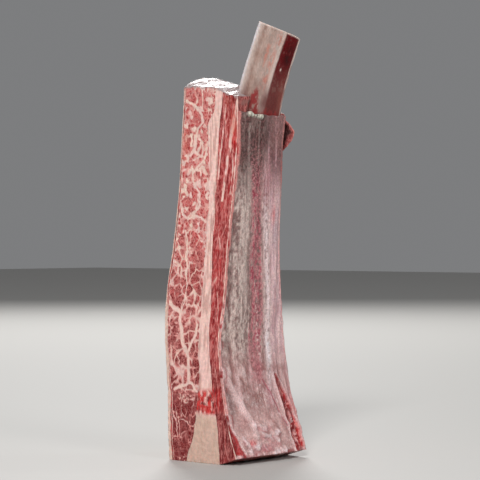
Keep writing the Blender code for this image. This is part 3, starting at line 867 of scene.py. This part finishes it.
shadow_line = hump(inset - 3.2 - 1.2 * ragged, 0.8) * torn * ease(0.5 + 1.5 * ragged)
tint = lay(tint, TORN_RED, 0.75 * shadow_line)
rim_tint = between(PINK, SKIN_STRIPE, (0.5 + 1.2 * ragged) * torn)
tint = lay(tint, rim_tint, 0.75 * left_rim + 0.5 * right_rim)
peeled = 9.0 * np.clip((27 - z) / 23, 0, 1.1) + 1.2 * ragged - inset
tint = lay(tint, between(TORN_RED, LEAN_LIGHT, 0.35 + hairs), ease(peeled / 0.8))
torn_lip = hump(peeled + 0.8, 0.9) * ease((30 - z) / 8)
tint = lay(tint, SKIN_STRIPE, 0.9 * torn_lip)
sole_rim = 1 - ramp(z - foot(membrane.y), 1.2, 1.6)
sole_tint = between(TORN_RED, SKIN_STRIPE, 0.45 + 1.1 * rough(x, flat, flat, (4, 9, 9), 146))
tint = lay(tint, sole_tint, 0.8 * sole_rim)
gristle = strokes(x, z, [(GRISTLE_LINE, 4.0)])
tint = lay(tint, GRISTLE, 0.9 * gristle * ease(0.8 + fine))
# Folds at the foot: painted highlights on their tops, and painted shadow just below each one.
lit_pleats = strokes(x + 1.5 * wrinkle, z + 2.2 * wrinkle, FOOT_FOLDS) * ease(0.55 + 0.9 * wrinkle)
shade_side = strokes(x, z + 2.4, FOOT_FOLDS)
tint = lay(tint, SKIN_PURPLE, 0.35 * shade_side * (1 - lit_pleats))
tint = lay(tint, SKIN_STRIPE, 0.7 * lit_pleats)
tint = lay(tint, SKIN_WHITE, 0.35 * lit_pleats * ease(0.5 + 1.5 * fine))
# A row of small raised beads, painted pale as glints of light.
beading = strokes(x, z, [(BEAD_GLINT_LINE, 3.0)]) * ramp(rough(x, flat, z, (1.0, 9, 1.5), 148), 0.15, 0.2)
tint = lay(tint, SKIN_STRIPE, 0.8 * beading)
folds = 0.9 * rough(x, flat, z + 0.25 * x, (13, 9, 5.5), 137) + 0.45 * wrinkle
folds = foot_zone * folds + 0.8 * lit_pleats
rise = (0.3 * cords + 0.16 * fine + 0.06 * hairs + 0.25 * wrinkle + 1.1 * lit_ridge + folds
        + lips + 0.9 * gristle - 0.9 * slit - 0.6 * shaded_crease + 0.35 * pale + 0.5 * beading
        + 0.7 * left_rim * torn + 0.9 * torn_lip)
membrane.y = membrane.y - membrane.front * rise
put_relief(membrane, 0.7 * torn * ragged, torn_top=False)
finish = Finish("wet_membrane")
tiny = finish.noise(0.7, 5.0, (1, 1, 1.6))
grains = finish.fit(finish.cells(1.0, (1, 1, 1.3)), 0.05, 0.3)
shade = finish.fit(tiny, 0.3, 0.7, 0.74, 1.18)
colour = finish.shaded(finish.mask("tint", "Color"), shade)
# Pink specks between fine grains, strongest on the purple stripe: painted glints of the wet film.
speckled = finish.sum(1.0, grains, "SUBTRACT")
for part in (finish.mask("speckle"), finish.fit(finish.noise(1.8, 3.0), 0.42, 0.62)):
    speckled = finish.times(speckled, part)
colour = finish.blend(speckled, colour, SKIN_GLINT_PINK)
finish.surface(colour, finish.fit(tiny, 0.3, 0.7, 0.3, 0.5))
finish.relief(finish.sum(tiny, finish.times(grains, 0.3)), 0.4, 0.9)
finish.wet(0.16, 0.18, 0.1, 0.8, 0.14)
build("membrane_piece", "membrane", "membrane", finish, membrane,
      tint=tint, speckle=0.15 + 0.55 * purple)

# The rib bone. A flat bone scraped clean above the meat, cream on its face with a dark red
# stripe down one side, and sawn off square so that its porous inside shows at the end. Its lit
# edges and rims are painted highlights, and part of the stripe's darkness is painted shade.
BONE_END = 290.8
BONE_END_FALL = 0.165
BONE_END_TILT = 0.383
BONE_END_CORNER = 2.5
BONE_SQUARENESS = 5.0
BONE_AROUND = 200
BONE_TRACE = 8000
BONE_BARE_FROM = 222.0
BONE_BARE_STEPS = 130
BONE_HIDDEN_STEPS = 24
BONE_END_RINGS = 14
BONE_RIM, BONE_RIM_RUN = 0.8, 0.08
BONE_CREAM = srgb(142, 114, 103)
BONE_LIT = srgb(216, 197, 188)
BONE_RED = srgb(92, 0, 6)
BONE_BROWN = srgb(98, 42, 40)
BONE_PINK = srgb(196, 112, 94)
BONE_BLACK = srgb(34, 2, 2)
# How pale the bone's face is, from its left side round to its right: painted light on the rounded
# left edge and along the ridge before the red stripe, and the cream's own tone between.
FACE_ROUND = (0.0, 0.05, 0.14, 0.22, 0.33, 0.46, 0.55, 0.64, 1.0)
FACE_LIGHT_AND_TONE = (1.0, 0.95, 0.62, 0.1, 0.26, 0.4, 0.66, 0.9, 0.45)
SIDE_SHARE = 0.305
MARROW = srgb(112, 30, 26)
CLOT = srgb(140, 30, 34)
RED_EDGE, RED_EDGE_LEVEL, RED_EDGE_LEAN = -0.03, 275, 0.0034
WEDGE_X, WEDGE_TIP, WEDGE_SLOPE = -13.0, 249, 0.28
PINK_SPOTS = (((-3.5, 279), (3.6, 7)), ((-6, 264), (3.0, 7)), ((-7, 250), (3.4, 6)),
              ((-13, 268), (1.5, 9)))


def bone_end(x, y):
    """The sawn end falls towards the far side and the front, and its far corner is rounded off."""
    left = along(BONE_LEVELS, BONE_X, BONE_END) - BONE_HALF_WIDTH
    back = along(BONE_LEVELS, BONE_Y, BONE_END) + BONE_HALF_DEPTH
    across = np.maximum((x - left) / (2 * BONE_HALF_WIDTH), 0)
    fall = BONE_END_FALL * (x - left) + BONE_END_TILT * (back - y)
    return BONE_END - fall - BONE_END_CORNER * across ** 8


def signed(value, power):
    return np.sign(value) * np.abs(value) ** power


turn = np.arange(BONE_TRACE + 1) / BONE_TRACE * 2 * math.pi
trace_x = signed(np.cos(turn), 2 / BONE_SQUARENESS)
trace_y = signed(np.sin(turn), 2 / BONE_SQUARENESS)
walked = np.hypot(np.diff(trace_x) * BONE_HALF_WIDTH, np.diff(trace_y) * BONE_HALF_DEPTH)
walked = np.concatenate([[0], np.cumsum(walked)])
evenly = np.arange(BONE_AROUND) / BONE_AROUND * walked[-1]
rim_x, rim_y = np.interp(evenly, walked, trace_x), np.interp(evenly, walked, trace_y)
bare = np.linspace(BONE_BARE_FROM, BONE_END, BONE_BARE_STEPS + 1)
hidden = np.linspace(0, BONE_BARE_FROM, BONE_HIDDEN_STEPS, endpoint=False)
levels = np.concatenate([hidden, bare]) / BONE_END
rings = np.linspace(1, 0, BONE_END_RINGS + 1)[1:]
rise = np.concatenate([levels, np.ones(BONE_END_RINGS)])[:, None] + 0 * rim_x
inward = np.concatenate([np.ones(len(levels)), rings])[:, None]
part_x, part_y = (inward * rim_x).ravel(), (inward * rim_y).ravel()
z = rise.ravel() * BONE_END
for _ in range(ROUNDS):
    x = along(BONE_LEVELS, BONE_X, z) + part_x * BONE_HALF_WIDTH
    y = along(BONE_LEVELS, BONE_Y, z) + part_y * BONE_HALF_DEPTH
    z = foot(y) + rise.ravel() * (bone_end(x, y) - foot(y))
grid = np.arange(z.size).reshape(rise.shape)
grid = np.column_stack([grid, grid[:, 0]])
faces = squares(grid.T) + [grid[0, :-1][::-1].tolist()]
at_end = (rise.ravel() > 1 - 1e-9) & (np.broadcast_to(inward, rise.shape).ravel() < 1)
inner = np.maximum(np.abs(part_x), np.abs(part_y))
out_x = signed(part_x, BONE_SQUARENESS - 1) / BONE_HALF_WIDTH
out_y = signed(part_y, BONE_SQUARENESS - 1) / BONE_HALF_DEPTH
length = np.maximum(np.hypot(out_x, out_y), 1e-6)
scrape = rough(x, y, z, (3.5, 3.5, 22), 141)
pitted = rough(x, y, z, (2.2, 2.2, 3), 143)
waves = mottle(x, y, z, (9, 9, 16), 145)
swell = (0.3 * waves + 0.14 * scrape + 0.1 * pitted) * ~at_end
porous = fade(inner, BONE_RIM, BONE_RIM_RUN)
pores = ramp(rough(x, y, z, 1.5, 147), -0.05, 0.3) * porous * at_end
saw = mottle(x + 0.6 * y, y, z, (0.9, 30, 30), 149) * at_end
bone = SimpleNamespace(x=x + swell * out_x / length, y=y + swell * out_y / length,
                       z=z - 0.7 * pores + 0.06 * saw, faces=faces)
front = ease(-part_y * 1.6 - 0.2)
s = part_x
across = s * BONE_HALF_WIDTH
round_face = SIDE_SHARE * (1 - part_y) / 2 + (1 - SIDE_SHARE) * (s + 1) / 2
light_and_tone = np.interp(round_face, FACE_ROUND, FACE_LIGHT_AND_TONE) - FACE_LIGHT_AND_TONE[-1]
light_and_tone = FACE_LIGHT_AND_TONE[-1] + light_and_tone * ease((1.02 - s - part_y) / 0.3)
tint = between(BONE_CREAM, BONE_LIT, light_and_tone + 0.22 * waves + 0.1 * scrape + 0.16 * pitted)
# A painted highlight along the bone's rounded left edge.
tint = lay(tint, SKIN_WHITE, 0.8 * fade(round_face, 0.07, 0.06) * ease(0.9 + 0.6 * scrape))
pink_patch = sum(blot(across + 1.5 * pitted, z, at, size) for at, size in PINK_SPOTS)
tint = lay(tint, BONE_PINK, 0.72 * pink_patch * ease(0.75 + 1.6 * pitted) * front)
red_edge = RED_EDGE + RED_EDGE_LEAN * (z - RED_EDGE_LEVEL)
# A painted highlight on the ridge along the red stripe's edge.
tint = lay(tint, BONE_LIT, 0.5 * hump(s - red_edge + 0.08, 0.07) * front)
# The red stripe is blood-red bone, painted darker in part as shade on the side turned from light.
red = ease((s - red_edge - 0.05 * scrape) / 0.12) * front
red_high = ramp(z, 240, 26)
tint = lay(tint, BONE_BROWN, 0.92 * red)
tint = lay(tint, BONE_RED, red * (0.35 + 0.65 * red_high) * ease(1.25 + pitted))
tint = lay(tint, BONE_BLACK, 0.85 * red * blot(across, z, (9, 268), (4, 8)) * ease(0.8 + pitted))
tint = lay(tint, BONE_CREAM, 0.32 * red * (1 - red_high) * ease((pitted + 0.3 * scrape) / 0.4))
tint = lay(tint, BONE_PINK, 0.18 * red * (1 - red_high) * ramp(s, 0.2, 0.6))
# A painted highlight along the bone's right rim.
right_rim_light = ramp(s, 0.77, 0.06)
tint = lay(tint, BONE_LIT, 0.95 * right_rim_light * ease(0.9 + 0.7 * scrape))
# A tiny painted highlight on the bone's face.
glint_speck = blot(across, z, (5.5, 259), (0.6, 0.8)) * front
tint = lay(tint, BONE_LIT, 1.2 * glint_speck)
below_tip = WEDGE_TIP - z
off_wedge = np.abs(across - WEDGE_X + 2.4 * pitted) - below_tip * WEDGE_SLOPE
wedge = fade(off_wedge, -0.6, 2.6) * ease(below_tip / 6) * ramp(z, 226, 4) * front
tint = lay(tint, CLOT, 0.9 * wedge * ease(0.75 + 1.5 * pitted))
near_meat = 1 - ease((z - 233 - 5 * scrape) / 22)
tint = lay(tint, BONE_BROWN, 0.9 * near_meat * ease(0.8 + waves))
tint = lay(tint, CLOT, 0.6 * (1 - ease((z - 229 - 2.5 * pitted) / 4)) * ease(0.6 + 1.5 * scrape))
from_end = bone_end(x, y) - z
# A painted highlight along the rim just under the sawn end.
tint = lay(tint, BONE_LIT, 0.85 * fade(from_end, 0.5, 0.9) * ~at_end)
end_tint = between(BONE_LIT, BONE_PINK, 0.3 + 0.5 * waves)
end_tint = lay(end_tint, MARROW, 0.85 * pores + 0.3 * porous)
tint = tint + (end_tint - tint) * at_end[:, None]
finish = Finish("scraped_bone")
grain = finish.noise(0.7, 5.0, (1, 1, 4))
dots = finish.fit(finish.noise(0.5, 2.0), 0.62, 0.74)
shade = finish.fit(grain, 0.3, 0.7, 0.86, 1.1)
colour = finish.shaded(finish.mask("tint", "Color"), shade)
colour = finish.blend(finish.times(dots, 0.2), colour, BONE_BROWN)
finish.surface(colour, finish.fit(grain, 0.3, 0.7, 0.38, 0.6))
finish.relief(finish.sum(grain, finish.times(dots, -0.4)), 0.25, 0.8)
finish.wet(0.06, 0.15, 0.1, 0.8, 0.08)
build("rib_bone_piece", "rib_bone", "bone", finish, bone, tint=tint)

# The meat flap. A tongue of lean left standing off the far edge near the top, painted dark
# in its hollow as shadow and pale along its torn rim as a highlight.
FLAP_BOTTOM = 197.0
FLAP_HEIGHT = 35.0
FLAP_REACH = 19.0
FLAP_SHORTEST = 2.5
FLAP_PEAK_LIFT = 1.4
FLAP_ROOT_Y = -8.0
FLAP_THICKNESS = 6.0
FLAP_RIM = 0.8
FLAP_HOLLOW = 0.78
FLAP_HOLLOW_DEPTH, FLAP_HOLLOW_OUT, FLAP_HOLLOW_WIDTH = 2.6, 0.62, 0.22
FLAP_TURN = math.radians(50)
FLAP_OUT_STEPS = 48
FLAP_RISE_STEPS = 72
FLAP_SHADOW = srgb(40, 8, 7)
FLAP_RED = srgb(126, 50, 43)
FLAP_RIM_HIGHLIGHT = srgb(206, 138, 130)

layer, out, rise = np.meshgrid((0.0, 1.0), np.linspace(0, 1, FLAP_OUT_STEPS + 1),
                               np.linspace(0, 1, FLAP_RISE_STEPS + 1), indexing="ij")
grid = np.arange(out.size).reshape(out.shape)
faces = (squares(grid[0]) + squares(grid[1].T) + squares(grid[:, -1]) + squares(grid[:, 0].T)
         + squares(grid[:, :, -1].T) + squares(grid[:, :, 0]))
layer, out, rise = layer.ravel(), out.ravel(), rise.ravel()
z = FLAP_BOTTOM + FLAP_HEIGHT * rise
swing = np.sin(math.pi * np.minimum(rise ** FLAP_PEAK_LIFT, 1)) ** 0.8
reach = FLAP_SHORTEST + (FLAP_REACH - FLAP_SHORTEST) * swing
ragged = rough(z, z * 0, z * 0, 5, 151)
reach = reach * (0.93 + 0.05 * ragged)
thick = FLAP_RIM + (FLAP_THICKNESS - FLAP_RIM) * (1 - 0.3 * out) * np.sqrt(1 - out ** 4)
hollow = FLAP_HOLLOW_DEPTH * hump(out - FLAP_HOLLOW_OUT, FLAP_HOLLOW_WIDTH)
hollow = hollow * np.sin(math.pi * rise) * (1 - layer)
curl = -0.4 * ramp(out, 0.7, 0.3)
x = half_width(z) + GAP + out * reach * math.cos(FLAP_TURN)
y = FLAP_ROOT_Y - out * reach * math.sin(FLAP_TURN) + (layer - 0.5) * thick + hollow + curl
bumps = rough(x, y, z, (3, 3, 5), 153)
y = y + 0.35 * bumps * (2 * layer - 1)
flap = SimpleNamespace(x=x, y=y, z=z, faces=faces)
tint = between(LEAN_DARK, FLAP_RED, 0.45 + 0.6 * bumps)
# Painted shadow in the flap's hollow.
hollow_shadow = (1 - layer) * (1 - ease((out - FLAP_HOLLOW - 0.08 * bumps) / 0.1))
hollow_shadow = hollow_shadow * (1 - ease((rise - FLAP_HOLLOW - 0.1 * bumps) / 0.12))
tint = lay(tint, FLAP_SHADOW, 0.95 * hollow_shadow)
# Painted highlight along the flap's torn rim, where the light catches it.
torn = np.maximum(ramp(out, 0.9, 0.08), ramp(rise, 0.88, 0.1))
tint = lay(tint, FLAP_RIM_HIGHLIGHT, 0.8 * torn * ease(0.7 + bumps))
finish = flesh("flap_lean", 1.6, (1, 1, 2), 0.4, 0.5)
finish.wet(0.1, 0.25, 0.1, 0.8)
build("meat_flap_piece", "meat_flap", "flap_lean", finish, flap,
      tint=tint, fat=np.maximum(0.5 * torn, 0.9 * hollow_shadow))

# The stage. A plain pale floor that runs back without a line, a large soft lamp on the left, three
# weaker ones in front, beside and behind, and a dim even sky.
FLOOR_HALF = 6
FLOOR_GREY = srgb(192, 190, 186)
FLOOR_ROUGHNESS = 0.7
SKY = (0.85, 0.86, 0.88, 1)
SKY_STRENGTH = 0.24
# Each lamp's name, place, the point it is turned to, its size and its power.
LAMPS = (
    ("key", (-2.0, -1.2, 1.6), (0, 0, 0.12), 0.7, 60),
    ("front", (-0.4, -2.2, 1.0), (0, 0, 0.15), 0.9, 12),
    ("glint", (1.7, -1.3, 0.7), (0, 0, 0.15), 0.2, 5),
    ("back", (1.6, 1.6, 1.6), (0, 0, 0.15), 1.0, 40),
)

floor_mesh = bpy.data.meshes.new("floor")
rim = [(x * FLOOR_HALF, y * FLOOR_HALF, 0) for x, y in ((-1, -1), (1, -1), (1, 1), (-1, 1))]
floor_mesh.from_pydata(rim, [], [(0, 1, 2, 3)])
floor = stand("floor", floor_mesh)
finish = Finish("pale_floor")
finish.shader.inputs["Base Color"].default_value = (*FLOOR_GREY, 1)
finish.shader.inputs["Roughness"].default_value = FLOOR_ROUGHNESS
finish.relief(finish.noise(3.0, 3.0), 0.1, 0.2)
floor_mesh.materials.append(finish.material)

for name, place, aim, size, watts in LAMPS:
    lamp = bpy.data.lights.new(name, "AREA")
    lamp.shape = "DISK"
    lamp.size = size
    lamp.energy = watts
    holder = stand(name, lamp)
    holder.location = place
    holder.rotation_euler = (Vector(aim) - Vector(place)).to_track_quat("-Z", "Y").to_euler()

world = bpy.data.worlds.new("studio")
bpy.context.scene.world = world
world.use_nodes = True
sky = world.node_tree.nodes["Background"].inputs
sky["Color"].default_value = SKY
sky["Strength"].default_value = SKY_STRENGTH
bpy.context.scene.view_settings.view_transform = "Standard"

# The camera stands level with the middle of the meat, a little more than a metre away, and
# sees the marbled face on the left and the membrane on the right.
CAMERA_TURN = math.radians(-50)
CAMERA_FAR = 1.222
CAMERA_HEIGHT = 0.146
CAMERA_LENS, CAMERA_SENSOR = 136.8, 36
FRAME_OFFSET = 0.00268
camera = bpy.data.cameras.new("camera")
camera.lens = CAMERA_LENS
camera.sensor_width = CAMERA_SENSOR
viewer = stand("camera", camera)
right = Vector((math.cos(CAMERA_TURN), math.sin(CAMERA_TURN), 0))
back = Vector((math.sin(CAMERA_TURN), -math.cos(CAMERA_TURN), 0))
viewer.location = back * CAMERA_FAR + Vector((0, 0, CAMERA_HEIGHT))
aim = right * FRAME_OFFSET + Vector((0, 0, CAMERA_HEIGHT))
viewer.rotation_euler = (aim - viewer.location).to_track_quat("-Z", "Y").to_euler()
bpy.context.scene.camera = viewer
